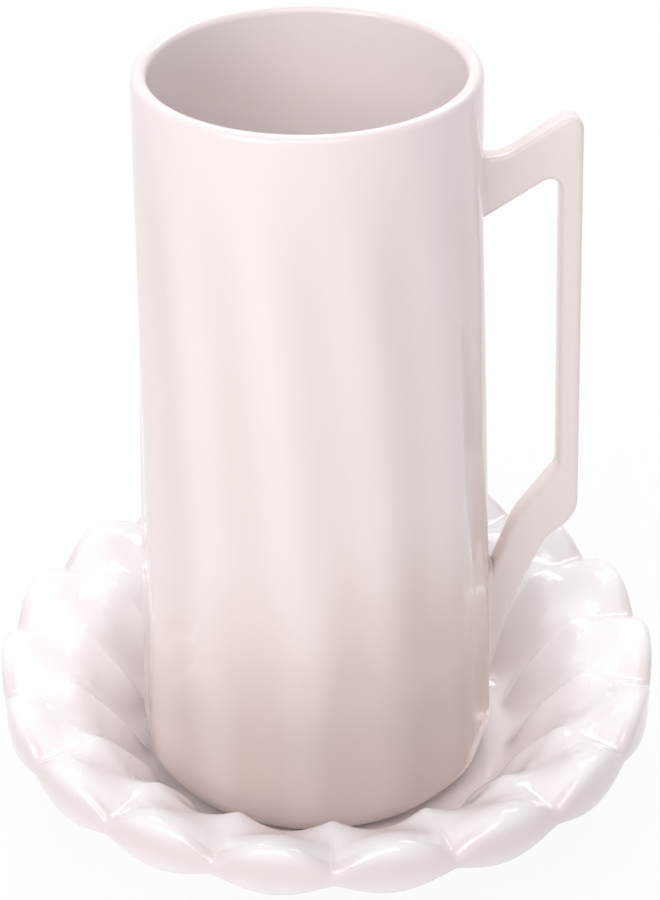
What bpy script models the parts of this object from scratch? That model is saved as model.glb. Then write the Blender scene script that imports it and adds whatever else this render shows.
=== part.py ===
"""Tall fluted porcelain mug with an angular handle, standing in the well of a petal-edged saucer.

Metres, +Z up. The origin is on the axis, on the surface that the saucer stands on. The handle points along +X.
"""

import math

import bmesh
import bpy

# Mug body, measured from the bottom of its foot
MUG_HEIGHT = 0.1625
RIM_RADIUS = 0.0340
BASE_RADIUS = 0.0395  # of the tapered side, carried down to the foot
WALL = 0.0032
FLOOR = 0.0040
BASE_CORNER = 0.0060
INNER_CORNER = 0.0070
MUG_FOOT_RADIUS = 0.0260  # middle of the foot ring
MUG_FOOT_WIDTH = 0.0030
MUG_FOOT_HEIGHT = 0.0012
MUG_OFFSET = -0.0025  # the mug stands a little off the middle of the wider well

# Flutes of the mug
FLUTES = 12
FLUTE_DEPTH = 0.0009
FLUTE_TWIST = math.radians(18.0)  # from the rim down to the foot
FLUTE_PHASE = math.radians(1.4)
FLUTE_RIM_FADE = 0.030  # plain band below the rim, where the flutes die out
STEPS_PER_FLUTE = 6
SIDE_ROWS = 12

# Handle, heights measured down from the rim at the top, and up from the mug's foot at the leg
HANDLE_REACH = 0.0203  # from the mug's side to the outer face of the grip
GRIP_THICKNESS = 0.0046
HANDLE_WIDTH = 0.0052
HANDLE_EDGE = 0.0014  # rounding of the long edges
RIM_TO_ROOT_TOP = 0.0213
RIM_TO_ROOT_BOTTOM = 0.0351
RIM_TO_FLARE = 0.0208  # bend above the upper root, where the bar starts to rise
FLARE_REACH = 0.0048
RIM_TO_CORNER_TOP = 0.0112
RIM_TO_CORNER_BOTTOM = 0.0250
GRIP_LOW_OUTER = 0.0543
GRIP_LOW_INNER = 0.0674
LEG_ROOT_HIGH = 0.0357
LEG_ROOT_LOW = 0.0055
LEG_BEND_REACH = 0.0130  # of the outer leg's upper bend, from the mug's side
LEG_BEND_HEIGHT = 0.0490
LEG_KNEE_REACH = 0.0052  # of its lower bend
LEG_KNEE_HEIGHT = 0.0315
INNER_KNEE_REACH = 0.0063
INNER_KNEE_HEIGHT = 0.0554
OUTER_CORNER_TOP = 0.0029
OUTER_CORNER_LOW = 0.0105
INNER_CORNER_TOP = 0.0025
INNER_CORNER_LOW = 0.0030
BEND_ROUND = 0.0080
KNEE_ROUND = 0.0200
ROOT_DEPTH = 0.0015  # how far the handle's blank runs into the mug's side before it is cut

# Slip that sticks the handle's two roots to the side
SLIP_THICKNESS = 0.0010
SLIP_BEAD = 0.0005  # how far the slip stands proud round the root
SEAT_GAP = 0.0003

# Saucer
SAUCER_RADIUS = 0.0724  # over the petals
LIP_WIDTH = 0.0176  # from the shoulder out to the petals' edge
PETALS = 18
PETAL_PHASE = math.radians(3.25)
LIP_HEIGHT = 0.0332  # top of a petal's arched edge
PETAL_ARCH = 0.0054  # the creases between petals lie this far below their edges
RIDGE_HEIGHT = 0.0033  # the ridges that run from the creases down into the well
RIDGE_REACH = 0.0020  # how far they also stand in from the steep wall
SHOULDER_HEIGHT = 0.0236  # where the wall and the lip would meet in a sharp corner
SHOULDER_BEND = 0.0028  # half the width of the bend there
EDGE_BEND = 0.0025  # half the width over which the lip levels out at its edge
CREASE = 0.0004  # the creases lie this far inside the petals' edges
SKIRT_HEIGHT = 0.0210  # bottom of the turned-down edge
WELL_RADIUS = 0.0430  # where the floor and the wall would meet in a sharp corner
WELL_BEND = 0.0035  # half the width of the bend there
WELL_HEIGHT = 0.0060
SAUCER_WALL = 0.0032
SAUCER_FLOOR = 0.0034
LIP_THICKNESS = 0.0030
LIP_ROUND = 0.0024  # of the edge, where the lip turns down
SAUCER_FOOT_RADIUS = 0.0345
SAUCER_FOOT_WIDTH = 0.0035
STEPS_PER_PETAL = 6
WALL_ROWS = 14

# Finish
PORCELAIN = (0.86, 0.81, 0.80, 1.0)
SLIP_WHITE = (0.84, 0.79, 0.78, 1.0)
GLAZE_ROUGHNESS = 0.08

ARC_STEPS = 5
SMOOTH_ANGLE = math.radians(35.0)


def clear_scene():
    for obj in list(bpy.data.objects):
        bpy.data.objects.remove(obj)


def collection(name, hidden=False):
    made = bpy.data.collections.new(name)
    bpy.context.scene.collection.children.link(made)
    made.hide_render = hidden
    return made


def material(name, colour):
    made = bpy.data.materials.new(name)
    made.use_nodes = True
    shader = made.node_tree.nodes["Principled BSDF"]
    shader.inputs["Base Color"].default_value = colour
    shader.inputs["Roughness"].default_value = GLAZE_ROUGHNESS
    shader.inputs["Metallic"].default_value = 0.0
    made.diffuse_color = colour
    return made


def ease(share):
    """Smooth step from 0 to 1."""
    share = min(1.0, max(0.0, share))
    return share * share * (3.0 - 2.0 * share)


def arc(centre, radius, start, end, steps=ARC_STEPS):
    """Points of an arc in the plane of radius and height, angles in degrees from the outward direction."""
    angles = [math.radians(start + (end - start) * i / steps) for i in range(steps + 1)]
    return [(centre[0] + radius * math.cos(a), centre[1] + radius * math.sin(a)) for a in angles]


def evaluated_mesh(obj, name):
    """The object's mesh with its modifiers applied. The object is removed."""
    graph = bpy.context.evaluated_depsgraph_get()
    mesh = bpy.data.meshes.new_from_object(obj.evaluated_get(graph))
    mesh.name = name
    bpy.data.objects.remove(obj)
    return mesh


def weld(mesh):
    work = bmesh.new()
    work.from_mesh(mesh)
    bmesh.ops.remove_doubles(work, verts=work.verts, dist=1e-6)
    bmesh.ops.recalc_face_normals(work, faces=work.faces)
    work.to_mesh(mesh)
    work.free()


def turned(name, profile, steps):
    """A mesh turned about Z from (radius, height) points that run down the outer side."""
    line = bpy.data.meshes.new(name + "_profile")
    line.from_pydata([(r, 0.0, z) for r, z in profile], [(i, i + 1) for i in range(len(profile) - 1)], [])
    obj = bpy.data.objects.new(name + "_profile", line)
    bpy.context.scene.collection.objects.link(obj)
    screw = obj.modifiers.new("Turn", "SCREW")
    screw.steps = screw.render_steps = steps
    screw.use_merge_vertices = True
    screw.merge_threshold = 1e-5
    mesh = evaluated_mesh(obj, name)
    weld(mesh)
    return mesh


def place(mesh, name, group, parent=None, finish=None):
    obj = bpy.data.objects.new(name, mesh)
    group.objects.link(obj)
    obj.parent = parent
    mesh.shade_smooth()
    mesh.set_sharp_from_angle(angle=SMOOTH_ANGLE)
    if finish:
        mesh.materials.clear()
        mesh.materials.append(finish)
    return obj


def side_radius(height):
    """Radius of the mug's side, before the flutes, at a height above its foot."""
    return BASE_RADIUS + (RIM_RADIUS - BASE_RADIUS) * height / MUG_HEIGHT


def flute_strength(height):
    """How deep the flutes are: none at the rim, dying out round the base."""
    below_rim = ease((MUG_HEIGHT - WALL - height) / FLUTE_RIM_FADE)
    above_base = ease((height - MUG_FOOT_HEIGHT) / BASE_CORNER)
    return below_rim * above_base


def on_outer_skin(radius, height):
    """True on the mug's outer side and base corner, and false on its inner side."""
    corner_height = MUG_FOOT_HEIGHT + BASE_CORNER
    if height >= corner_height:
        return radius > side_radius(height) - WALL / 2
    centre = side_radius(corner_height) - BASE_CORNER
    return radius > centre and math.hypot(radius - centre, height - corner_height) > BASE_CORNER - WALL / 2


def flute(mesh):
    """Cuts the flutes into the outer skin and twists the whole mesh with them."""
    for vertex in mesh.vertices:
        x, y, z = vertex.co
        radius, angle = math.hypot(x, y), math.atan2(y, x)
        if on_outer_skin(radius, z):
            radius -= FLUTE_DEPTH * (0.5 - 0.5 * math.cos(FLUTES * angle)) * flute_strength(z)
        angle += FLUTE_PHASE + FLUTE_TWIST * (1.0 - (z / MUG_HEIGHT) ** 2)
        vertex.co = (radius * math.cos(angle), radius * math.sin(angle), z)


def side_heights():
    """Heights of the rows of the side, from the lip down to the base corner."""
    top, bottom = MUG_HEIGHT - WALL / 2, MUG_FOOT_HEIGHT + BASE_CORNER
    return [top + (bottom - top) * i / SIDE_ROWS for i in range(SIDE_ROWS + 1)]


def make_mug_body(group, parent, finish):
    inner_floor = MUG_FOOT_HEIGHT + FLOOR
    inner_turn = inner_floor + INNER_CORNER
    inner_centre = (side_radius(inner_turn) - WALL - INNER_CORNER, inner_turn)
    lip = (RIM_RADIUS - WALL / 2, MUG_HEIGHT - WALL / 2)
    corner_height = MUG_FOOT_HEIGHT + BASE_CORNER
    corner = (side_radius(corner_height) - BASE_CORNER, corner_height)
    foot_in = MUG_FOOT_RADIUS - MUG_FOOT_WIDTH / 2
    foot_out = MUG_FOOT_RADIUS + MUG_FOOT_WIDTH / 2
    profile = [(0.0, inner_floor)]
    profile += arc(inner_centre, INNER_CORNER, -90, 0)
    profile += arc(lip, WALL / 2, 180, 0)[:-1]
    profile += [(side_radius(z), z) for z in side_heights()]
    profile += [p for p in arc(corner, BASE_CORNER, 0, -90)[1:] if p[0] > foot_out]
    profile += [(foot_out, MUG_FOOT_HEIGHT), (foot_out, 0.0), (foot_in, 0.0), (foot_in, MUG_FOOT_HEIGHT)]
    profile += [(0.0, MUG_FOOT_HEIGHT)]
    mesh = turned("mug_body", profile, FLUTES * STEPS_PER_FLUTE)
    flute(mesh)
    return place(mesh, "mug_body", group, parent, finish)


def mug_skin(name, offset, group, parent):
    """A solid a little larger than the mug's side, for cutting what is stuck to it."""
    heights = side_heights() + [MUG_FOOT_HEIGHT]
    rows = [(side_radius(z) + offset, z) for z in heights]
    profile = [(0.0, heights[0])] + rows + [(0.0, heights[-1])]
    mesh = turned(name, profile, FLUTES * STEPS_PER_FLUTE)
    flute(mesh)
    return helper(place(mesh, name, group, parent))


def helper(obj):
    obj.hide_render = True
    obj.display_type = "WIRE"
    return obj


def rounded(corners):
    """Points of a closed outline whose corners, given as (point, radius), are rounded by arcs."""
    outline = []
    for i, (point, radius) in enumerate(corners):
        before, after = corners[i - 1][0], corners[(i + 1) % len(corners)][0]
        if radius == 0.0:
            outline.append(point)
            continue
        to_before = (before[0] - point[0], before[1] - point[1])
        to_after = (after[0] - point[0], after[1] - point[1])
        length_before, length_after = math.hypot(*to_before), math.hypot(*to_after)
        cosine = (to_before[0] * to_after[0] + to_before[1] * to_after[1]) / (length_before * length_after)
        half = math.acos(max(-1.0, min(1.0, cosine))) / 2
        cut = min(radius / math.tan(half), 0.48 * length_before, 0.48 * length_after)
        start = [point[k] + to_before[k] * cut / length_before for k in (0, 1)]
        end = [point[k] + to_after[k] * cut / length_after for k in (0, 1)]
        for j in range(ARC_STEPS + 1):
            t = j / ARC_STEPS
            blend = ((1 - t) ** 2, 2 * t * (1 - t) * math.cos(math.pi / 2 - half), t**2)
            total = sum(blend)
            mixed = [blend[0] * start[k] + blend[1] * point[k] + blend[2] * end[k] for k in (0, 1)]
            outline.append((mixed[0] / total, mixed[1] / total))
    return outline


def handle_outline():
    """Side view of the handle, as (distance from the axis, height), with its roots inside the mug's side."""

    def beside(reach, height):
        return (side_radius(height) + reach, height)

    inner_reach = HANDLE_REACH - GRIP_THICKNESS
    return rounded(
        [
            (beside(-ROOT_DEPTH, MUG_HEIGHT - RIM_TO_ROOT_BOTTOM), 0.0),
            (beside(inner_reach, MUG_HEIGHT - RIM_TO_CORNER_BOTTOM), INNER_CORNER_TOP),
            (beside(inner_reach, GRIP_LOW_INNER), INNER_CORNER_LOW),
            (beside(INNER_KNEE_REACH, INNER_KNEE_HEIGHT), KNEE_ROUND),
            (beside(-ROOT_DEPTH, LEG_ROOT_HIGH), 0.0),
            (beside(-ROOT_DEPTH, LEG_ROOT_LOW), 0.0),
            (beside(LEG_KNEE_REACH, LEG_KNEE_HEIGHT), KNEE_ROUND),
            (beside(LEG_BEND_REACH, LEG_BEND_HEIGHT), BEND_ROUND),
            (beside(HANDLE_REACH, GRIP_LOW_OUTER), OUTER_CORNER_LOW),
            (beside(HANDLE_REACH, MUG_HEIGHT - RIM_TO_CORNER_TOP), OUTER_CORNER_TOP),
            (beside(FLARE_REACH, MUG_HEIGHT - RIM_TO_FLARE), BEND_ROUND),
            (beside(-ROOT_DEPTH, MUG_HEIGHT - RIM_TO_ROOT_TOP), 0.0),
        ]
    )


def handle_blank(name, grow, group, parent, finish):
    """The handle before its roots are cut to the mug's side: the side view extruded to its width."""
    curve = bpy.data.curves.new(name, "CURVE")
    curve.dimensions = "2D"
    curve.fill_mode = "BOTH"
    curve.extrude = HANDLE_WIDTH / 2 + grow - HANDLE_EDGE
    curve.bevel_depth = HANDLE_EDGE
    curve.bevel_resolution = 2
    curve.offset = grow - HANDLE_EDGE
    spline = curve.splines.new("POLY")
    points = handle_outline()
    spline.points.add(len(points) - 1)
    for point, (x, z) in zip(spline.points, points):
        point.co = (x, z, 0.0, 1.0)
    spline.use_cyclic_u = True
    flat = bpy.data.objects.new(name, curve)
    flat.rotation_euler = (math.pi / 2, 0.0, 0.0)
    bpy.context.scene.collection.objects.link(flat)
    bpy.context.view_layer.update()
    turn = flat.matrix_world.copy()
    mesh = evaluated_mesh(flat, name)
    mesh.transform(turn)
    weld(mesh)
    return place(mesh, name, group, parent, finish)


def boolean(obj, operation, other):
    cut = obj.modifiers.new(operation.title(), "BOOLEAN")
    cut.operation = operation
    cut.object = other


def make_handle(group, cutters, parent, finish, slip_finish):
    near = mug_skin("skin_under_slip", SEAT_GAP, cutters, parent)
    far = mug_skin("skin_over_slip", SEAT_GAP + SLIP_THICKNESS, cutters, parent)
    clear = mug_skin("skin_at_handle", 2 * SEAT_GAP + SLIP_THICKNESS, cutters, parent)
    handle = handle_blank("handle", 0.0, group, parent, finish)
    boolean(handle, "DIFFERENCE", clear)
    middle = (MUG_HEIGHT - RIM_TO_ROOT_BOTTOM + LEG_ROOT_HIGH) / 2
    cut_away = {"upper_slip_joint": middle - MUG_HEIGHT / 2, "lower_slip_joint": middle + MUG_HEIGHT / 2}
    for name, centre in cut_away.items():
        slip = handle_blank(name, SLIP_BEAD, group, parent, slip_finish)
        half = half_space(name + "_cutter", centre, cutters, parent)
        boolean(slip, "DIFFERENCE", half)
        boolean(slip, "INTERSECT", far)
        boolean(slip, "DIFFERENCE", near)


def half_space(name, centre, group, parent):
    """A block as tall as the mug, which takes away one of the handle's two roots."""
    mesh = bpy.data.meshes.new(name)
    work = bmesh.new()
    bmesh.ops.create_cube(work, size=MUG_HEIGHT)
    bmesh.ops.translate(work, verts=work.verts, vec=(0.0, 0.0, centre))
    work.to_mesh(mesh)
    work.free()
    return helper(place(mesh, name, group, parent))


def wall_share(radius):
    """0 at the edge of the well, 1 from the shoulder outwards."""
    return ease((radius - WELL_RADIUS + WELL_BEND) / (SAUCER_RADIUS - LIP_WIDTH - WELL_RADIUS + WELL_BEND))


def lip_share(radius):
    """0 in to the shoulder, 1 at the petals' edge."""
    return ease((radius - SAUCER_RADIUS + LIP_WIDTH) / (LIP_WIDTH - LIP_ROUND))


def past_corner(radius, corner, half):
    """Run past a corner that is rounded over half its bend on either side."""
    along = min(max(radius - corner + half, 0.0), 2 * half)
    return along * along / (4 * half) + max(radius - corner - half, 0.0)


def saucer_top(radius):
    """Height of the upper side along the middle of a petal: floor, steep wall, lip, level edge."""
    shoulder = SAUCER_RADIUS - LIP_WIDTH
    edge = SAUCER_RADIUS - LIP_ROUND - EDGE_BEND
    wall = (SHOULDER_HEIGHT - WELL_HEIGHT) / (shoulder - WELL_RADIUS)
    lip = (LIP_HEIGHT - SHOULDER_HEIGHT) / (edge - shoulder)
    height = WELL_HEIGHT + wall * past_corner(radius, WELL_RADIUS, WELL_BEND)
    height -= (wall - lip) * past_corner(radius, shoulder, SHOULDER_BEND)
    return height - lip * past_corner(radius, edge, EDGE_BEND)


def saucer_under(radius):
    """Height of the underside below that: the wall's thickness, measured square to its slope."""
    step = SAUCER_WALL / 10
    slope = (saucer_top(radius + step) - saucer_top(radius - step)) / (2 * step)
    thickness = SAUCER_WALL + (LIP_THICKNESS - SAUCER_WALL) * lip_share(radius)
    flat = ease((radius - WELL_RADIUS) / WELL_BEND)
    thickness = SAUCER_FLOOR + (thickness - SAUCER_FLOOR) * flat
    return saucer_top(radius) - thickness * math.hypot(1.0, slope)


def shape_petals(mesh, under_lip):
    """Raises the ridges, arches the petals' edges and creases the lip."""
    for vertex in mesh.vertices:
        x, y, z = vertex.co
        radius, angle = math.hypot(x, y), math.atan2(y, x)
        ridge = 1.0 - abs(math.sin(PETALS * angle / 2))
        wall, lip = wall_share(radius), lip_share(radius)
        drop = (RIDGE_HEIGHT + PETAL_ARCH) * lip
        if radius > SAUCER_RADIUS - LIP_THICKNESS - LIP_ROUND / 10:
            top = LIP_HEIGHT - LIP_ROUND if radius > SAUCER_RADIUS - LIP_THICKNESS / 2 else under_lip
            drop *= min(1.0, max(0.0, (z - SKIRT_HEIGHT) / (top - SKIRT_HEIGHT)))
        z += ridge * (RIDGE_HEIGHT * wall - drop)
        angle += PETAL_PHASE
        radius -= ridge * (CREASE * lip + 4 * RIDGE_REACH * wall * (1.0 - wall))
        vertex.co = (radius * math.cos(angle), radius * math.sin(angle), z)


def make_saucer(group, finish):
    last = SAUCER_RADIUS - LIP_ROUND
    inside = SAUCER_RADIUS - LIP_THICKNESS
    first = WELL_RADIUS - WELL_BEND
    rows = [first + (last - first) * i / WALL_ROWS for i in range(WALL_ROWS + 1)]
    foot_out = SAUCER_FOOT_RADIUS + SAUCER_FOOT_WIDTH / 2
    foot_in = SAUCER_FOOT_RADIUS - SAUCER_FOOT_WIDTH / 2
    foot_top = WELL_HEIGHT - SAUCER_FLOOR
    half = LIP_THICKNESS / 2
    under_lip = saucer_under(inside)
    profile = [(0.0, WELL_HEIGHT)]
    profile += [(r, saucer_top(r)) for r in rows]
    profile += arc((last, LIP_HEIGHT - LIP_ROUND), LIP_ROUND, 90, 0, 3)[1:]
    profile += arc((SAUCER_RADIUS - half, SKIRT_HEIGHT + half), half, 0, -180, 4)
    profile += [(inside, under_lip)]
    profile += [(r, saucer_under(r)) for r in reversed(rows) if foot_out < r < inside - LIP_ROUND]
    profile += [(foot_out, saucer_under(foot_out)), (foot_out, 0.0), (foot_in, 0.0), (foot_in, foot_top)]
    profile += [(0.0, foot_top)]
    mesh = turned("saucer", profile, PETALS * STEPS_PER_PETAL)
    shape_petals(mesh, under_lip)
    return place(mesh, "saucer", group, None, finish)


def main():
    clear_scene()
    parts = collection("fluted_mug_and_saucer")
    cutters = collection("cutters", hidden=True)
    glaze = material("white_glaze", PORCELAIN)
    slip = material("glazed_slip", SLIP_WHITE)
    mug_seat = bpy.data.objects.new("mug_seat", None)
    mug_seat.location = (MUG_OFFSET, 0.0, WELL_HEIGHT + SEAT_GAP)
    parts.objects.link(mug_seat)
    make_saucer(parts, glaze)
    make_mug_body(parts, mug_seat, glaze)
    make_handle(parts, cutters, mug_seat, glaze, slip)


main()
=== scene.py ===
import math

import bmesh
import bpy
from mathutils import Matrix, Vector


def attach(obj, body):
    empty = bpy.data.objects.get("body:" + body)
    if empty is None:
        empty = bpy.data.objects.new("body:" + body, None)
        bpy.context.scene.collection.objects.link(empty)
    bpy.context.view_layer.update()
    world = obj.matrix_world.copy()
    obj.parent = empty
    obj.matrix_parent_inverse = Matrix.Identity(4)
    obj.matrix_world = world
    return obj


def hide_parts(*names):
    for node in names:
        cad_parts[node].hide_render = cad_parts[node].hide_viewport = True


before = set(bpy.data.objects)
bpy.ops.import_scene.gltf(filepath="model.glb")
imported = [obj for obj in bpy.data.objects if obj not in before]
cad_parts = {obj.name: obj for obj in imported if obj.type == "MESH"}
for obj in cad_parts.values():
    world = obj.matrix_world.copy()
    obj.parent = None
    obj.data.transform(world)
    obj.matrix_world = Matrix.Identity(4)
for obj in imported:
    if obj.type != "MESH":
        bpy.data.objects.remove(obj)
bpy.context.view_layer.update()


def smoothStep(share):
    share = min(1.0, max(0.0, share))
    return share * share * (3.0 - 2.0 * share)


def arcPoints(centre, radius, startAngle, endAngle, steps):
    angles = [math.radians(startAngle + (endAngle - startAngle) * i / steps) for i in range(steps + 1)]
    return [(centre[0] + radius * math.cos(a), centre[1] + radius * math.sin(a)) for a in angles]


def linePoints(start, end, steps):
    # the points between two ends, without the ends
    shares = [i / steps for i in range(1, steps)]
    return [(start[0] + (end[0] - start[0]) * s, start[1] + (end[1] - start[1]) * s) for s in shares]


# Glaze: a glossy skin over white porcelain, deeper and pinker where it drifts thicker at random and where
# shade is painted into its colour
glazeSettings = {
    "mugWhite": (0.885, 0.819, 0.815, 1.0),
    # the DeepAndShade colours: the deeper, pinker tone that thicker glaze drifts towards at random and
    # that painted shade mixes in
    "mugDeepAndShade": (0.740, 0.620, 0.585, 1.0),
    "mugIor": 1.52,
    # paler and cooler than the mug's white: painted light, for the saucer's brightly lit upturned faces
    "saucerWhite": (0.935, 0.925, 0.940, 1.0),
    "saucerDeepAndShade": (0.800, 0.715, 0.715, 1.0),
    "saucerIor": 1.70,
    "tintScale": 22.0,
    "tintDetail": 2.0,
    "tintRange": (0.3, 0.7),  # of the noise that is spread over the tint's strength
    "tintStrength": 0.08,
    "roughLow": 0.02,
    "roughHigh": 0.05,
    "rippleScale": 140.0,
    "rippleDetail": 1.0,
    "rippleHeight": 0.00006,
}

colourA, colourB, colourMixed = 6, 7, 2  # the colour sockets of a mix node


def makeGlazeSkin():
    glaze = glazeSettings
    group = bpy.data.node_groups.new("glazeSkin", "ShaderNodeTree")
    inputs = {"White": "NodeSocketColor", "DeepAndShade": "NodeSocketColor", "ShadeShare": "NodeSocketFloat"}
    outputs = {"Colour": "NodeSocketColor", "Roughness": "NodeSocketFloat", "Height": "NodeSocketFloat"}
    for name, kind in inputs.items():
        group.interface.new_socket(name, in_out="INPUT", socket_type=kind)
    for name, kind in outputs.items():
        group.interface.new_socket(name, in_out="OUTPUT", socket_type=kind)
    nodes, links = group.nodes, group.links
    groupIn = nodes.new("NodeGroupInput")
    groupOut = nodes.new("NodeGroupOutput")
    place = nodes.new("ShaderNodeTexCoord")
    cloud = nodes.new("ShaderNodeTexNoise")  # slow drift of the glaze's thickness
    cloud.inputs["Scale"].default_value = glaze["tintScale"]
    cloud.inputs["Detail"].default_value = glaze["tintDetail"]
    links.new(place.outputs["Object"], cloud.inputs["Vector"])
    drift = nodes.new("ShaderNodeMapRange")
    drift.inputs["From Min"].default_value = glaze["tintRange"][0]
    drift.inputs["From Max"].default_value = glaze["tintRange"][1]
    drift.inputs["To Min"].default_value = 0.0
    drift.inputs["To Max"].default_value = glaze["tintStrength"]
    links.new(cloud.outputs["Fac"], drift.inputs["Value"])
    # the colour mixes towards the darker tone by the random drift plus the painted shade stored on the
    # mesh
    total = nodes.new("ShaderNodeMath")
    total.operation = "ADD"
    total.use_clamp = True
    links.new(drift.outputs["Result"], total.inputs[0])
    links.new(groupIn.outputs["ShadeShare"], total.inputs[1])
    mix = nodes.new("ShaderNodeMix")
    mix.data_type = "RGBA"
    links.new(total.outputs["Value"], mix.inputs["Factor"])
    links.new(groupIn.outputs["White"], mix.inputs[colourA])
    links.new(groupIn.outputs["DeepAndShade"], mix.inputs[colourB])
    links.new(mix.outputs[colourMixed], groupOut.inputs["Colour"])
    rough = nodes.new("ShaderNodeMapRange")
    rough.inputs["To Min"].default_value = glaze["roughLow"]
    rough.inputs["To Max"].default_value = glaze["roughHigh"]
    links.new(cloud.outputs["Fac"], rough.inputs["Value"])
    links.new(rough.outputs["Result"], groupOut.inputs["Roughness"])
    ripple = nodes.new("ShaderNodeTexNoise")  # faint unevenness of the fired surface
    ripple.inputs["Scale"].default_value = glaze["rippleScale"]
    ripple.inputs["Detail"].default_value = glaze["rippleDetail"]
    links.new(place.outputs["Object"], ripple.inputs["Vector"])
    links.new(ripple.outputs["Fac"], groupOut.inputs["Height"])
    return group


glazeSkin = makeGlazeSkin()


def makeGlaze(name):
    material = bpy.data.materials.new(name + "Glaze")
    material.use_nodes = True
    nodes, links = material.node_tree.nodes, material.node_tree.links
    shader = nodes["Principled BSDF"]
    skin = nodes.new("ShaderNodeGroup")
    skin.node_tree = glazeSkin
    skin.inputs["White"].default_value = glazeSettings[name + "White"]
    skin.inputs["DeepAndShade"].default_value = glazeSettings[name + "DeepAndShade"]
    shadeTint = nodes.new("ShaderNodeAttribute")  # how far each point is darkened towards the shade colour, stored on the mesh: painted shade, and the flute grooves
    shadeTint.attribute_name = "shadeTint"
    links.new(shadeTint.outputs["Fac"], skin.inputs["ShadeShare"])
    bump = nodes.new("ShaderNodeBump")
    bump.inputs["Strength"].default_value = 1.0
    bump.inputs["Distance"].default_value = glazeSettings["rippleHeight"]
    links.new(skin.outputs["Height"], bump.inputs["Height"])
    links.new(skin.outputs["Colour"], shader.inputs["Base Color"])
    links.new(skin.outputs["Roughness"], shader.inputs["Roughness"])
    links.new(bump.outputs["Normal"], shader.inputs["Normal"])
    shader.inputs["IOR"].default_value = glazeSettings[name + "Ior"]
    return material


# Biscuit: the bare, matt clay of the foot rings
biscuitSettings = {
    "colour": (0.760, 0.690, 0.640, 1.0),
    "rough": 0.85,
    "grainScale": 1800.0,
    "grainHeight": 0.0001,
}


def makeBiscuit():
    material = bpy.data.materials.new("bareFoot")
    material.use_nodes = True
    nodes, links = material.node_tree.nodes, material.node_tree.links
    shader = nodes["Principled BSDF"]
    shader.inputs["Base Color"].default_value = biscuitSettings["colour"]
    shader.inputs["Roughness"].default_value = biscuitSettings["rough"]
    place = nodes.new("ShaderNodeTexCoord")
    grain = nodes.new("ShaderNodeTexNoise")
    grain.inputs["Scale"].default_value = biscuitSettings["grainScale"]
    bump = nodes.new("ShaderNodeBump")
    bump.inputs["Distance"].default_value = biscuitSettings["grainHeight"]
    links.new(place.outputs["Object"], grain.inputs["Vector"])
    links.new(grain.outputs["Fac"], bump.inputs["Height"])
    links.new(bump.outputs["Normal"], shader.inputs["Normal"])
    return material


mugGlaze = makeGlaze("mug")
saucerGlaze = makeGlaze("saucer")
bareFoot = makeBiscuit()
print("glazes ready")

weldDistance = 1e-6


def spinProfile(profile, steps):
    # turns (radius, height) points about Z into a closed mesh
    mesh = bmesh.new()
    mesh.verts.layers.float.new("shadeTint")
    verts = [mesh.verts.new((r, 0.0, z)) for r, z in profile]
    edges = [mesh.edges.new(pair) for pair in zip(verts, verts[1:])]
    bmesh.ops.spin(
        mesh,
        geom=verts + edges,
        cent=(0, 0, 0),
        axis=(0, 0, 1),
        angle=2 * math.pi,
        steps=steps,
        use_merge=True,
    )
    bmesh.ops.remove_doubles(mesh, verts=mesh.verts, dist=weldDistance)
    bmesh.ops.recalc_face_normals(mesh, faces=mesh.faces)
    return mesh


def bareBelow(mesh, height):
    # the lowest faces stay without glaze and take the second material
    for face in mesh.faces:
        if face.calc_center_median().z < height:
            face.material_index = 1


def addPiece(mesh, name, materials, body, nodeName):
    data = bpy.data.meshes.new(name)
    mesh.to_mesh(data)
    mesh.free()
    data.shade_smooth()
    for material in materials:
        data.materials.append(material)
    piece = bpy.data.objects.new(name, data)
    bpy.context.scene.collection.objects.link(piece)
    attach(piece, body)
    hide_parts(nodeName)
    print(name, len(data.polygons), "faces")


# Mug body: straight tapered side, round lip, soft twisted flutes outside, plain inside
mugSettings = {
    "seat": (-0.0025, 0.0, 0.0063),
    "height": 0.1625,
    "rimRadius": 0.0340,
    "baseRadius": 0.0395,
    "wall": 0.0032,
    "floor": 0.0040,
    "baseCorner": 0.0060,
    "innerCorner": 0.0070,
    "footRadius": 0.0260,
    "footWidth": 0.0030,
    "footHeight": 0.0012,
    "footEdge": 0.4,  # share of the foot's height that is rounded
    "footMiddle": 0.5,  # share of the foot's radius at which the underside has one more row
    "bareFoot": 0.1,  # share of the foot's height that has no glaze
    "flutes": 12,
    "fluteDepth": 0.0009,
    "fluteTwist": 18.0,
    "flutePhase": 1.4,
    "rimFade": 0.034,
    "fluteTint": 0.30,
    "lowShadeHeight": 0.072,  # top of the painted shade on the lower side
    "lowShadeDepth": 0.045,
    "lowShadeWaves": ((0.004, 7, 0.0), (0.003, 17, 1.0)),  # height, count and start of each
    "lowShadeTint": 0.8,
    "lowShadeSide": -40.0,  # where the painted shade stands highest and deepest
    "lowShadeLean": 0.012,
    "lowShadeTintLean": 0.2,
    "steps": 288,
    "floorRows": 6,
    "innerCornerRows": 12,
    "innerRows": 18,
    "lipRows": 14,
    "sideRows": 56,
    "baseCornerRows": 16,
    "footRows": 3,
}


def sideRadius(height):
    mug = mugSettings
    return mug["baseRadius"] + (mug["rimRadius"] - mug["baseRadius"]) * height / mug["height"]


def fluteTurn(height):
    share = height / mugSettings["height"]
    return math.radians(mugSettings["flutePhase"] + mugSettings["fluteTwist"] * (1.0 - share * share))


def fluteStrength(height):
    mug = mugSettings
    belowRim = smoothStep((mug["height"] - mug["wall"] - height) / mug["rimFade"])
    aboveBase = smoothStep((height - mug["footHeight"]) / mug["baseCorner"])
    return belowRim * aboveBase


def fluteWave(angle):
    return 0.5 - 0.5 * math.cos(mugSettings["flutes"] * angle)


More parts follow.
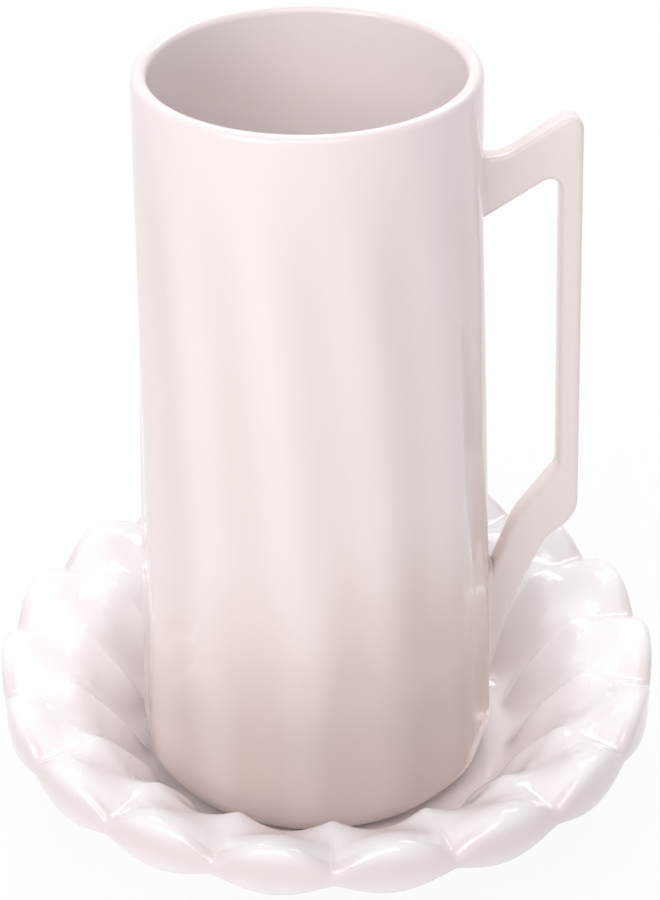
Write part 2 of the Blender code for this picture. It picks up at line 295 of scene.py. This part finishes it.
def onOuterSkin(radius, height):
    mug = mugSettings
    turn = mug["footHeight"] + mug["baseCorner"]
    if height >= turn:
        return radius > sideRadius(height) - mug["wall"] / 2
    centre = sideRadius(turn) - mug["baseCorner"]
    fromCentre = math.hypot(radius - centre, height - turn)
    return radius > centre and fromCentre > mug["baseCorner"] - mug["wall"] / 2


def mugProfile():
    mug = mugSettings
    base = mug["footHeight"]
    innerFloor = base + mug["floor"]
    innerTurn = innerFloor + mug["innerCorner"]
    innerCentre = (sideRadius(innerTurn) - mug["wall"] - mug["innerCorner"], innerTurn)
    lipRadius = mug["wall"] / 2
    lipCentre = (mug["rimRadius"] - lipRadius, mug["height"] - lipRadius)
    turn = base + mug["baseCorner"]
    corner = (sideRadius(turn) - mug["baseCorner"], turn)
    footIn = mug["footRadius"] - mug["footWidth"] / 2
    footOut = mug["footRadius"] + mug["footWidth"] / 2
    edge = base * mug["footEdge"]
    profile = [(0.0, innerFloor)]
    profile += linePoints((0.0, innerFloor), (innerCentre[0], innerFloor), mug["floorRows"])
    profile += arcPoints(innerCentre, mug["innerCorner"], -90, 0, mug["innerCornerRows"])
    innerTop = (lipCentre[0] - lipRadius, lipCentre[1])
    profile += linePoints((innerCentre[0] + mug["innerCorner"], innerTurn), innerTop, mug["innerRows"])
    profile += arcPoints(lipCentre, lipRadius, 180, 0, mug["lipRows"])
    profile += linePoints((mug["rimRadius"], lipCentre[1]), (sideRadius(turn), turn), mug["sideRows"])
    profile += arcPoints(corner, mug["baseCorner"], 0, -90, mug["baseCornerRows"])
    profile += [(footOut, base)]
    profile += arcPoints((footOut - edge, edge), edge, 0, -90, mug["footRows"])
    profile += arcPoints((footIn + edge, edge), edge, 270, 180, mug["footRows"])
    profile += [(footIn, base), (footIn * mug["footMiddle"], base), (0.0, base)]
    return profile


# painted shade low on the mug's side, where the saucer shades it, reaching higher and darker on the side
# turned from the light
def paintedLowShade(angle, height):
    mug = mugSettings
    lean = math.cos(angle - math.radians(mug["lowShadeSide"]))
    shadeTop = mug["lowShadeHeight"] + mug["lowShadeLean"] * lean
    for size, count, start in mug["lowShadeWaves"]:
        shadeTop += size * math.sin(count * angle + start)
    shade = mug["lowShadeTint"] + mug["lowShadeTintLean"] * lean
    return shade * smoothStep((shadeTop - height) / mug["lowShadeDepth"])


def makeMug():
    mug = mugSettings
    mesh = spinProfile(mugProfile(), mug["steps"])
    shadeTint = mesh.verts.layers.float["shadeTint"]
    for vert in mesh.verts:
        x, y, z = vert.co
        radius, angle = math.hypot(x, y), math.atan2(y, x)
        if onOuterSkin(radius, z):
            wave = fluteWave(angle) * fluteStrength(z)
            radius -= mug["fluteDepth"] * wave
            # the flute grooves are darker, and painted shade lies low on the side
            vert[shadeTint] = mug["fluteTint"] * wave + paintedLowShade(angle, z)
        angle += fluteTurn(z)
        vert.co = (radius * math.cos(angle), radius * math.sin(angle), z)
    bareBelow(mesh, mug["footHeight"] * mug["bareFoot"])
    bmesh.ops.translate(mesh, verts=mesh.verts, vec=mug["seat"])
    addPiece(mesh, "mugBody", [mugGlaze, bareFoot], "mug", "mug_body")


makeMug()

# Handle: flat angular loop in the plane of X and Z, soft edges, with two roots let into slip
# Single points are (distance from the mug's side, height), the roots and corners are two heights
handleSettings = {
    "reach": 0.0203,
    "thickness": 0.0046,
    "width": 0.0052,
    "edge": 0.0014,
    "topRoot": (0.1274, 0.1412),
    "flare": (0.0048, 0.1417),
    "topCorner": (0.1375, 0.1513),
    "gripLow": (0.0674, 0.0543),
    "innerKnee": (0.0063, 0.0554),
    "outerBend": (0.0130, 0.0490),
    "outerKnee": (0.0052, 0.0315),
    "legRoot": (0.0357, 0.0055),
    "rootDepth": 0.0015,
    "outerCornerTop": 0.0029,
    "outerCornerLow": 0.0105,
    "innerCornerTop": 0.0025,
    "innerCornerLow": 0.0030,
    "bendRound": 0.0080,
    "kneeRound": 0.0200,
    "cornerRoom": 0.48,  # share of a straight run that one rounded corner may use
    "arcSteps": 10,
    "edgeSteps": 6,
}


def besideMug(reach, height):
    return Vector((sideRadius(height) + reach, height))


def roundCorner(before, point, after, radius):
    steps, room = handleSettings["arcSteps"], handleSettings["cornerRoom"]
    toBefore, toAfter = before - point, after - point
    half = toBefore.angle(toAfter) / 2
    cut = min(radius / math.tan(half), room * toBefore.length, room * toAfter.length)
    start, end = point + toBefore.normalized() * cut, point + toAfter.normalized() * cut
    weight = math.sin(half)
    points = []
    for i in range(steps + 1):
        t = i / steps
        parts = ((1 - t) ** 2, 2 * t * (1 - t) * weight, t * t)
        points.append((start * parts[0] + point * parts[1] + end * parts[2]) / sum(parts))
    return points


def handleOutline():
    grip = handleSettings
    inner = grip["reach"] - grip["thickness"]
    deep = -grip["rootDepth"]
    corners = [
        (besideMug(deep, grip["topRoot"][0]), 0.0),
        (besideMug(inner, grip["topCorner"][0]), grip["innerCornerTop"]),
        (besideMug(inner, grip["gripLow"][0]), grip["innerCornerLow"]),
        (besideMug(*grip["innerKnee"]), grip["kneeRound"]),
        (besideMug(deep, grip["legRoot"][0]), 0.0),
        (besideMug(deep, grip["legRoot"][1]), 0.0),
        (besideMug(*grip["outerKnee"]), grip["kneeRound"]),
        (besideMug(*grip["outerBend"]), grip["bendRound"]),
        (besideMug(grip["reach"], grip["gripLow"][1]), grip["outerCornerLow"]),
        (besideMug(grip["reach"], grip["topCorner"][1]), grip["outerCornerTop"]),
        (besideMug(*grip["flare"]), grip["bendRound"]),
        (besideMug(deep, grip["topRoot"][1]), 0.0),
    ]
    outline = []
    for i, (point, radius) in enumerate(corners):
        if radius == 0.0:
            outline.append(point)
        else:
            after = corners[(i + 1) % len(corners)][0]
            outline += roundCorner(corners[i - 1][0], point, after, radius)
    return outline


def makeHandle():
    grip = handleSettings
    mesh = bmesh.new()
    half = grip["width"] / 2
    verts = [mesh.verts.new((point.x, -half, point.y)) for point in handleOutline()]
    face = mesh.faces.new(verts)
    grown = bmesh.ops.extrude_face_region(mesh, geom=[face])
    moved = [item for item in grown["geom"] if isinstance(item, bmesh.types.BMVert)]
    bmesh.ops.translate(mesh, verts=moved, vec=(0.0, 2 * half, 0.0))
    bmesh.ops.recalc_face_normals(mesh, faces=mesh.faces)
    longEdges = []
    for edge in mesh.edges:
        if abs(edge.verts[0].co.y - edge.verts[1].co.y) < weldDistance:
            longEdges.append(edge)
    bmesh.ops.bevel(
        mesh,
        geom=longEdges,
        offset=grip["edge"],
        affect="EDGES",
        segments=grip["edgeSteps"],
        profile=0.5,
        material=-1,
    )
    bmesh.ops.translate(mesh, verts=mesh.verts, vec=mugSettings["seat"])
    addPiece(mesh, "handleLoop", [mugGlaze], "mug", "handle")


makeHandle()

# Slip joints: a fillet round each root of the handle that flares out onto the mug's side
slipSettings = {
    "fillet": 0.0018,
    "rows": 8,
    "sides": 48,
    "squareness": 0.42,
    "depth": 0.0004,  # how far the fillet's edge runs into the side
    "clear": 0.00004,
}


def skinRadius(angle, height):
    wave = fluteWave(angle - fluteTurn(height))
    return sideRadius(height) - mugSettings["fluteDepth"] * wave * fluteStrength(height)


def heightAt(points, reach):
    # height of a side of the handle at a distance from the mug's side
    for low, high in zip(points, points[1:]):
        if low[0] <= reach <= high[0]:
            return low[1] + (high[1] - low[1]) * (reach - low[0]) / (high[0] - low[0])
    return points[-1][1]


def squared(side):
    # pulls a circle's coordinate out towards a square
    return math.copysign(abs(side) ** slipSettings["squareness"], side)


def nextRing(mesh, ring):
    edges = [edge for edge in mesh.edges if all(vert in ring for vert in edge.verts)]
    grown = bmesh.ops.extrude_edge_only(mesh, edges=edges)["geom"]
    pairs = {}
    for vert in grown:
        if isinstance(vert, bmesh.types.BMVert):
            for edge in vert.link_edges:
                if edge.other_vert(vert) in ring:
                    pairs[edge.other_vert(vert)] = vert
    return [pairs[vert] for vert in ring]


def makeSlip(name, nodeName, under, over):
    slip = slipSettings
    mesh = bmesh.new()
    mesh.verts.layers.float.new("shadeTint")
    fillet = slip["fillet"]
    rows = [math.radians(90.0 * i / slip["rows"]) for i in range(slip["rows"] + 1)]
    ring = bmesh.ops.create_circle(mesh, segments=slip["sides"], radius=1.0)["verts"]
    square = [(squared(vert.co.x), squared(vert.co.y)) for vert in ring]
    for number, row in enumerate([rows[0]] + rows):
        if number:
            ring = nextRing(mesh, ring)
        spread = fillet * (1 - math.sin(row))
        rise = fillet * (1 - math.cos(row)) if number else -slip["depth"]
        low, high = heightAt(under, rise) - spread, heightAt(over, rise) + spread
        half = handleSettings["width"] / 2 + spread + slip["clear"]
        for vert, (across, up) in zip(ring, square):
            z = (low + high) / 2 + up * (high - low) / 2
            y = across * half
            angle = math.asin(y / sideRadius(z))
            radius = skinRadius(angle, z) + rise
            vert.co = (radius * math.cos(angle), y, z)
    bmesh.ops.recalc_face_normals(mesh, faces=mesh.faces)
    bmesh.ops.translate(mesh, verts=mesh.verts, vec=mugSettings["seat"])
    addPiece(mesh, name, [mugGlaze], "mug", nodeName)


def rootSide(rootHeight, reach, height):
    return [(-handleSettings["rootDepth"], rootHeight), (reach, height)]


gripInner = handleSettings["reach"] - handleSettings["thickness"]
topUnder = rootSide(handleSettings["topRoot"][0], gripInner, handleSettings["topCorner"][0])
topOver = rootSide(handleSettings["topRoot"][1], *handleSettings["flare"])
legUnder = rootSide(handleSettings["legRoot"][1], *handleSettings["outerKnee"])
legOver = rootSide(handleSettings["legRoot"][0], *handleSettings["innerKnee"])
makeSlip("upperSlip", "upper_slip_joint", topUnder, topOver)
makeSlip("lowerSlip", "lower_slip_joint", legUnder, legOver)

# Saucer: a deep dish of scooped petals with ridges between them, a turned-down arched edge and a flat well
saucerSettings = {
    "radius": 0.0724,
    "lipWidth": 0.0176,
    "petals": 18,
    "petalPhase": 3.25,
    "lipHeight": 0.0332,
    "petalArch": 0.0054,
    "ridgeHeight": 0.0033,
    "ridgeReach": 0.0020,
    "ridgeSoft": 0.05,
    "scoopDepth": 0.0010,
    "shoulderHeight": 0.0236,
    "shoulderBend": 0.0028,
    "edgeBend": 0.0025,
    "crease": 0.0004,
    "skirtHeight": 0.0210,
    "wellRadius": 0.0430,
    "wellBend": 0.0035,
    "wellHeight": 0.0060,
    "wall": 0.0032,
    "floor": 0.0034,
    "slopeStep": 0.00032,  # over which the slope of the dish is measured
    "lipThickness": 0.0030,
    "lipRound": 0.0024,
    "lipSlack": 0.00024,
    "footRadius": 0.0345,
    "footWidth": 0.0035,
    "footEdge": 0.0008,
    "footMiddle": 0.6,  # share of the foot's radius at which the underside has one more row
    "bareFoot": 0.0002,  # height of the foot that has no glaze
    # painted shade: in the scoops, on the well floor round the mug's foot, and in the creases at the lip
    "scoopShade": 0.05,
    "wellShade": 0.60,
    "creaseShade": 0.45,
    "creaseSharpness": 3,
    # painted shade on the turned-down skirt, strongest under the lip and fading towards the hem
    "skirtShade": 0.8,
    "skirtShadeFade": 0.7,
    "skirtFade": 0.006,
    "stepsPerPetal": 24,
    "rows": 46,
    "wellRows": 10,
    "lipRows": 8,
    "skirtRows": 8,
    "hemRows": 12,
    "insideRows": 6,
    "footRows": 5,
}


def wallShare(radius):
    dish = saucerSettings
    start = dish["wellRadius"] - dish["wellBend"]
    return smoothStep((radius - start) / (dish["radius"] - dish["lipWidth"] - start))


def lipShare(radius):
    dish = saucerSettings
    return smoothStep((radius - dish["radius"] + dish["lipWidth"]) / (dish["lipWidth"] - dish["lipRound"]))


def pastCorner(radius, corner, half):
    # run past a corner that is rounded over half its bend on either side
    along = min(max(radius - corner + half, 0.0), 2 * half)
    return along * along / (4 * half) + max(radius - corner - half, 0.0)


def dishTop(radius):
    dish = saucerSettings
    shoulder = dish["radius"] - dish["lipWidth"]
    edge = dish["radius"] - dish["lipRound"] - dish["edgeBend"]
    wall = (dish["shoulderHeight"] - dish["wellHeight"]) / (shoulder - dish["wellRadius"])
    lip = (dish["lipHeight"] - dish["shoulderHeight"]) / (edge - shoulder)
    height = dish["wellHeight"] + wall * pastCorner(radius, dish["wellRadius"], dish["wellBend"])
    height -= (wall - lip) * pastCorner(radius, shoulder, dish["shoulderBend"])
    return height - lip * pastCorner(radius, edge, dish["edgeBend"])


def dishUnder(radius):
    dish = saucerSettings
    step = dish["slopeStep"]
    slope = (dishTop(radius + step) - dishTop(radius - step)) / (2 * step)
    thickness = dish["wall"] + (dish["lipThickness"] - dish["wall"]) * lipShare(radius)
    flat = smoothStep((radius - dish["wellRadius"]) / dish["wellBend"])
    thickness = dish["floor"] + (thickness - dish["floor"]) * flat
    return dishTop(radius) - thickness * math.hypot(1.0, slope)


def saucerProfile():
    dish = saucerSettings
    well = dish["wellHeight"]
    last = dish["radius"] - dish["lipRound"]
    inside = dish["radius"] - dish["lipThickness"]
    half = dish["lipThickness"] / 2
    skirt = dish["skirtHeight"] + half
    turn = dish["lipHeight"] - dish["lipRound"]
    first = dish["wellRadius"] - dish["wellBend"]
    rows = [first + (last - first) * i / dish["rows"] for i in range(dish["rows"] + 1)]
    footOut = dish["footRadius"] + dish["footWidth"] / 2
    footIn = dish["footRadius"] - dish["footWidth"] / 2
    footTop = well - dish["floor"]
    edge = dish["footEdge"]
    underRows = [r for r in reversed(rows) if footOut + edge < r < inside - dish["lipRound"]]
    underLip = dishUnder(inside)
    profile = [(0.0, well)]
    profile += linePoints((0.0, well), (rows[0], well), dish["wellRows"])
    profile += [(r, dishTop(r)) for r in rows]
    profile += arcPoints((last, turn), dish["lipRound"], 90, 0, dish["lipRows"])[1:]
    profile += linePoints((dish["radius"], turn), (dish["radius"], skirt), dish["skirtRows"])
    profile += arcPoints((dish["radius"] - half, skirt), half, 0, -180, dish["hemRows"])
    profile += linePoints((inside, skirt), (inside, underLip), dish["insideRows"])
    profile += [(inside, underLip)]
    profile += [(r, dishUnder(r)) for r in underRows]
    profile += [(footOut, dishUnder(footOut + edge) - edge / 2)]
    profile += arcPoints((footOut - edge, edge), edge, 0, -90, dish["footRows"])
    profile += arcPoints((footIn + edge, edge), edge, 270, 180, dish["footRows"])
    profile += [(footIn, footTop), (footIn * dish["footMiddle"], footTop), (0.0, footTop)]
    return profile


def ridgeShare(angle):
    # 1 on the softened ridge between two petals, 0 in the middle of a petal
    soft = saucerSettings["ridgeSoft"]
    sine = math.sin(saucerSettings["petals"] * angle / 2)
    away = math.sqrt(sine * sine + soft * soft) - soft
    return 1.0 - away / (math.sqrt(1.0 + soft * soft) - soft)


def makeSaucer():
    dish = saucerSettings
    mesh = spinProfile(saucerProfile(), dish["petals"] * dish["stepsPerPetal"])
    shadeTint = mesh.verts.layers.float["shadeTint"]
    inside = dish["radius"] - dish["lipThickness"]
    underLip = dishUnder(inside)
    for vert in mesh.verts:
        x, y, z = vert.co
        radius, angle = math.hypot(x, y), math.atan2(y, x)
        ridge, wall, lip = ridgeShare(angle), wallShare(radius), lipShare(radius)
        drop = (dish["ridgeHeight"] + dish["petalArch"]) * lip
        if radius > inside - dish["lipSlack"]:
            outer = radius > inside + dish["lipThickness"] / 2
            top = dish["lipHeight"] - dish["lipRound"] if outer else underLip
            drop *= min(1.0, max(0.0, (z - dish["skirtHeight"]) / (top - dish["skirtHeight"])))
        scoop = 4 * wall * (1.0 - wall)
        z += ridge * (dish["ridgeHeight"] * wall - drop)
        # painted shade in the scoops, on the well floor round the mug, and in the lip's creases
        vert[shadeTint] = dish["scoopShade"] * (1.0 - ridge) * scoop + dish["wellShade"] * (1.0 - wall)
        vert[shadeTint] += dish["creaseShade"] * ridge ** dish["creaseSharpness"] * lip
        # painted shade on the skirt, strongest under the lip and fading towards the hem
        if radius > dish["radius"] - dish["lipRound"]:
            below = smoothStep((dish["lipHeight"] - z) / (2 * dish["lipRound"]))
            low = smoothStep((dish["skirtHeight"] + dish["skirtFade"] - z) / dish["skirtFade"])
            vert[shadeTint] = below * (dish["skirtShade"] - dish["skirtShadeFade"] * low)
        angle += math.radians(dish["petalPhase"])
        radius -= ridge * (dish["crease"] * lip + dish["ridgeReach"] * scoop)
        radius += dish["scoopDepth"] * scoop * (1.0 - ridge)
        vert.co = (radius * math.cos(angle), radius * math.sin(angle), z)
    bareBelow(mesh, dish["bareFoot"])
    addPiece(mesh, "petalSaucer", [saucerGlaze, bareFoot], "saucer", "saucer")


makeSaucer()

# Stage: a pale floor, a white surround, five softboxes and the photograph's camera
stageSettings = {
    "floorSize": 6.0,
    "floorDrop": 0.0002,
    "floorWhite": (0.90, 0.88, 0.88, 1.0),
    "floorRough": 0.9,
    "floorGlow": 0.93,
    "seenWhite": (1.0, 1.0, 1.0, 1.0),  # of floor and surround, as camera and mirrored rays see them
    "worldSeen": 1.0,
    "worldFill": (0.97, 0.92, 0.925, 1.0),
    "worldFillStrength": 0.45,
    "lampColour": (1.0, 0.985, 0.975),
    "lampAim": (0.0, 0.0, 0.07),
}


def seenRays(nodes, links):
    path = nodes.new("ShaderNodeLightPath")
    mirrored = nodes.new("ShaderNodeMath")
    mirrored.operation = "MAXIMUM"
    links.new(path.outputs["Is Glossy Ray"], mirrored.inputs[0])
    links.new(path.outputs["Is Transmission Ray"], mirrored.inputs[1])
    seen = nodes.new("ShaderNodeMath")
    seen.operation = "MAXIMUM"
    links.new(path.outputs["Is Camera Ray"], seen.inputs[0])
    links.new(mirrored.outputs["Value"], seen.inputs[1])
    return seen.outputs["Value"]


def makeFloor():
    stage = stageSettings
    mesh = bmesh.new()
    bmesh.ops.create_grid(mesh, x_segments=1, y_segments=1, size=stage["floorSize"])
    data = bpy.data.meshes.new("floor")
    mesh.to_mesh(data)
    mesh.free()
    material = bpy.data.materials.new("paleFloor")
    material.use_nodes = True
    nodes, links = material.node_tree.nodes, material.node_tree.links
    shader = nodes["Principled BSDF"]
    shader.inputs["Base Color"].default_value = stage["floorWhite"]
    shader.inputs["Roughness"].default_value = stage["floorRough"]
    glow = nodes.new("ShaderNodeEmission")
    glow.inputs["Color"].default_value = stage["seenWhite"]
    share = nodes.new("ShaderNodeMath")
    share.operation = "MULTIPLY"
    share.inputs[1].default_value = stage["floorGlow"]
    mix = nodes.new("ShaderNodeMixShader")
    links.new(seenRays(nodes, links), share.inputs[0])
    links.new(share.outputs["Value"], mix.inputs["Fac"])
    links.new(shader.outputs["BSDF"], mix.inputs[1])
    links.new(glow.outputs["Emission"], mix.inputs[2])
    links.new(mix.outputs["Shader"], nodes["Material Output"].inputs["Surface"])
    data.materials.append(material)
    floor = bpy.data.objects.new("floor", data)
    floor.location.z = -stage["floorDrop"]
    bpy.context.scene.collection.objects.link(floor)


def makeWorld():
    stage = stageSettings
    world = bpy.data.worlds.new("studio")
    world.use_nodes = True
    nodes, links = world.node_tree.nodes, world.node_tree.links
    fill = nodes["Background"]
    fill.inputs["Color"].default_value = stage["worldFill"]
    fill.inputs["Strength"].default_value = stage["worldFillStrength"]
    seen = nodes.new("ShaderNodeBackground")
    seen.inputs["Color"].default_value = stage["seenWhite"]
    seen.inputs["Strength"].default_value = stage["worldSeen"]
    mix = nodes.new("ShaderNodeMixShader")
    links.new(seenRays(nodes, links), mix.inputs["Fac"])
    links.new(fill.outputs["Background"], mix.inputs[1])
    links.new(seen.outputs["Background"], mix.inputs[2])
    links.new(mix.outputs["Shader"], nodes["World Output"].inputs["Surface"])
    bpy.context.scene.world = world


lampSettings = {
    "back": {"place": (0.00, 0.58, 0.76), "size": (0.7, 0.2), "power": 2.5},
    "top": {"place": (0.00, 0.30, 0.70), "size": (0.3, 0.3), "power": 0.5},
    "front": {"place": (0.00, -0.58, 0.76), "size": (0.5, 0.5), "power": 1.8},
    "left": {"place": (-0.42, -0.42, 0.50), "size": (0.4, 0.4), "power": 1.9},
    "right": {"place": (0.45, 0.45, 0.65), "size": (0.3, 0.3), "power": 0.8},
}


def makeLamps():
    for name, lamp in lampSettings.items():
        data = bpy.data.lights.new(name + "Softbox", "AREA")
        data.shape = "RECTANGLE"
        data.size, data.size_y = lamp["size"]
        data.energy = lamp["power"]
        data.color = stageSettings["lampColour"]
        softbox = bpy.data.objects.new(name + "Softbox", data)
        softbox.location = lamp["place"]
        facing = Vector(stageSettings["lampAim"]) - Vector(lamp["place"])
        softbox.rotation_mode = "QUATERNION"
        softbox.rotation_quaternion = facing.to_track_quat("-Z", "Y")
        bpy.context.scene.collection.objects.link(softbox)


cameraSettings = {
    "azimuth": -8.0,
    "distance": 0.41312,
    "aside": 0.00432,
    "height": 0.34032,
    "pitch": 31.82,
    "roll": -0.386,
    "lens": 92.0,
    "sensor": 36.0,
    "shift": (-15 / 900, -10 / 900),  # in pixels, over the photograph's height
    "clipStart": 0.01,
}


def makeCamera():
    view = cameraSettings
    data = bpy.data.cameras.new("photoCamera")
    data.sensor_width = view["sensor"]
    data.lens = view["lens"]
    data.shift_x, data.shift_y = view["shift"]
    data.clip_start = view["clipStart"]
    camera = bpy.data.objects.new("photoCamera", data)
    bpy.context.scene.collection.objects.link(camera)
    turn = Matrix.Rotation(math.radians(view["azimuth"]), 4, "Z")
    place = Matrix.Translation((view["aside"], -view["distance"], view["height"]))
    tilt = Matrix.Rotation(math.radians(90.0 - view["pitch"]), 4, "X")
    roll = Matrix.Rotation(math.radians(view["roll"]), 4, "Z")
    camera.matrix_world = turn @ place @ tilt @ roll
    bpy.context.scene.camera = camera


makeFloor()
makeWorld()
makeLamps()
makeCamera()
bpy.context.scene.view_settings.view_transform = "Standard"
print("stage ready")
